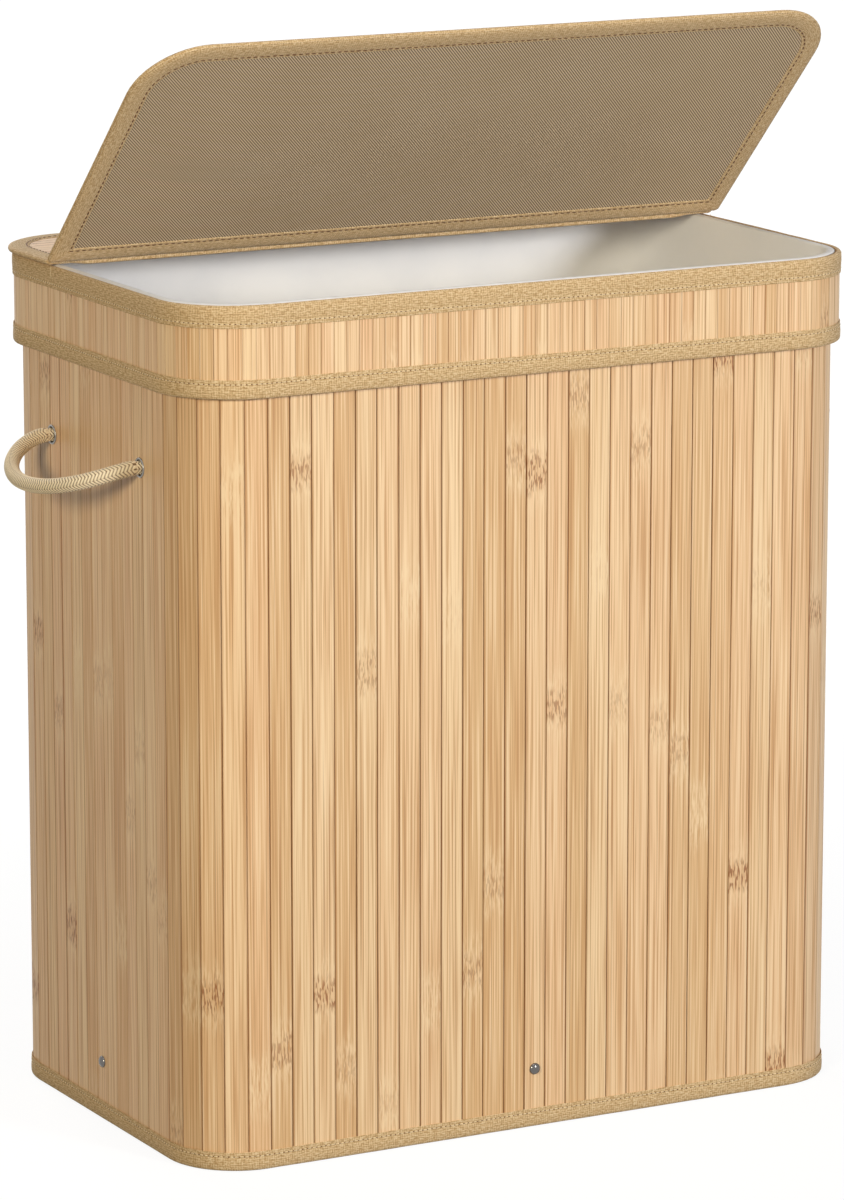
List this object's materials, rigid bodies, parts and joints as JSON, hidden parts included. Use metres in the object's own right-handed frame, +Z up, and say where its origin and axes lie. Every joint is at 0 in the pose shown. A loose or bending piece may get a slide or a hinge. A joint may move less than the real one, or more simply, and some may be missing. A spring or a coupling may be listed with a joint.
{
  "type": "laundry hamper",
  "caption": "Slatted bamboo laundry hamper with two bins in a cloth liner, a lift-off collar lid with a hinged flap, and rope handles.",
  "frame": {"origin": "centre of the base, on the floor", "axes": "+Z up, +X along the long side to the right as seen from the front, -Y out of the front, where the flap opens"},
  "size_m": [0.6352, 0.334, 0.7692],
  "materials": {
    "bamboo": "planed and clear lacquered, satin",
    "linen_tape": "plain woven, matt",
    "backing_cloth": "plain woven, matt",
    "oxford_cloth": "coated Oxford weave, matt",
    "liner_cloth": "polyester cotton, matt",
    "cotton_rope": "braided, matt",
    "fibreboard": "raw",
    "zinc_plated_steel": "zinc plated, pressed",
    "chromed_steel": "polished"
  },
  "bodies": {
    "body": {"body_slats": "bamboo", "body_backing": "backing_cloth", "base_tape": "linen_tape", "rim_tape": "linen_tape", "base_board": "fibreboard", "bracket_front": "zinc_plated_steel", "bracket_right": "zinc_plated_steel", "bracket_back": "zinc_plated_steel", "bracket_left": "zinc_plated_steel", "rivet_front": "chromed_steel", "rivet_right": "chromed_steel", "rivet_back": "chromed_steel", "rivet_left": "chromed_steel", "eyelet_left_front": "zinc_plated_steel", "eyelet_left_back": "zinc_plated_steel", "eyelet_right_front": "zinc_plated_steel", "eyelet_right_back": "zinc_plated_steel", "knot_left_front": "cotton_rope", "knot_left_back": "cotton_rope", "knot_right_front": "cotton_rope", "knot_right_back": "cotton_rope"},
    "lid": {"collar_slats": "bamboo", "collar_backing": "backing_cloth", "collar_top_tape": "linen_tape", "collar_lower_tape": "linen_tape", "rear_panel_slats": "bamboo", "rear_panel_board": "fibreboard", "rear_panel_lining": "oxford_cloth", "rear_panel_binding": "linen_tape", "hinge_tape_rear": "linen_tape"},
    "flap": {"flap_slats": "bamboo", "flap_board": "fibreboard", "flap_lining": "oxford_cloth", "flap_binding": "linen_tape", "hinge_tape_front": "linen_tape"},
    "liner": {"liner_bag": "liner_cloth", "liner_divider": "liner_cloth"},
    "handle_left": {"rope_handle_left": "cotton_rope"},
    "handle_right": {"rope_handle_right": "cotton_rope"}
  },
  "joints": [
    {"name": "lid_lift", "type": "slide", "parent": "body", "child": "lid", "axis": [0, 0, 1], "range_m": [0, 0.72]},
    {"name": "flap_hinge", "type": "hinge", "parent": "lid", "child": "flap", "pos_m": [0, 0.055, 0.60575], "axis": [-1, 0, 0], "range_deg": [-44.6, 130]},
    {"name": "liner_lift", "type": "slide", "parent": "body", "child": "liner", "axis": [0, 0, 1], "range_m": [0, 0.62]},
    {"name": "handle_left_swing", "type": "hinge", "parent": "body", "child": "handle_left", "pos_m": [-0.2656, 0, 0.479], "axis": [0, 1, 0], "range_deg": [-62, 92]},
    {"name": "handle_right_swing", "type": "hinge", "parent": "body", "child": "handle_right", "pos_m": [0.2656, 0, 0.479], "axis": [0, -1, 0], "range_deg": [-62, 92]}
  ],
  "couplings": [
    {"joint": "liner_lift", "follows": "lid_lift", "ratio": 0.85}
  ]
}
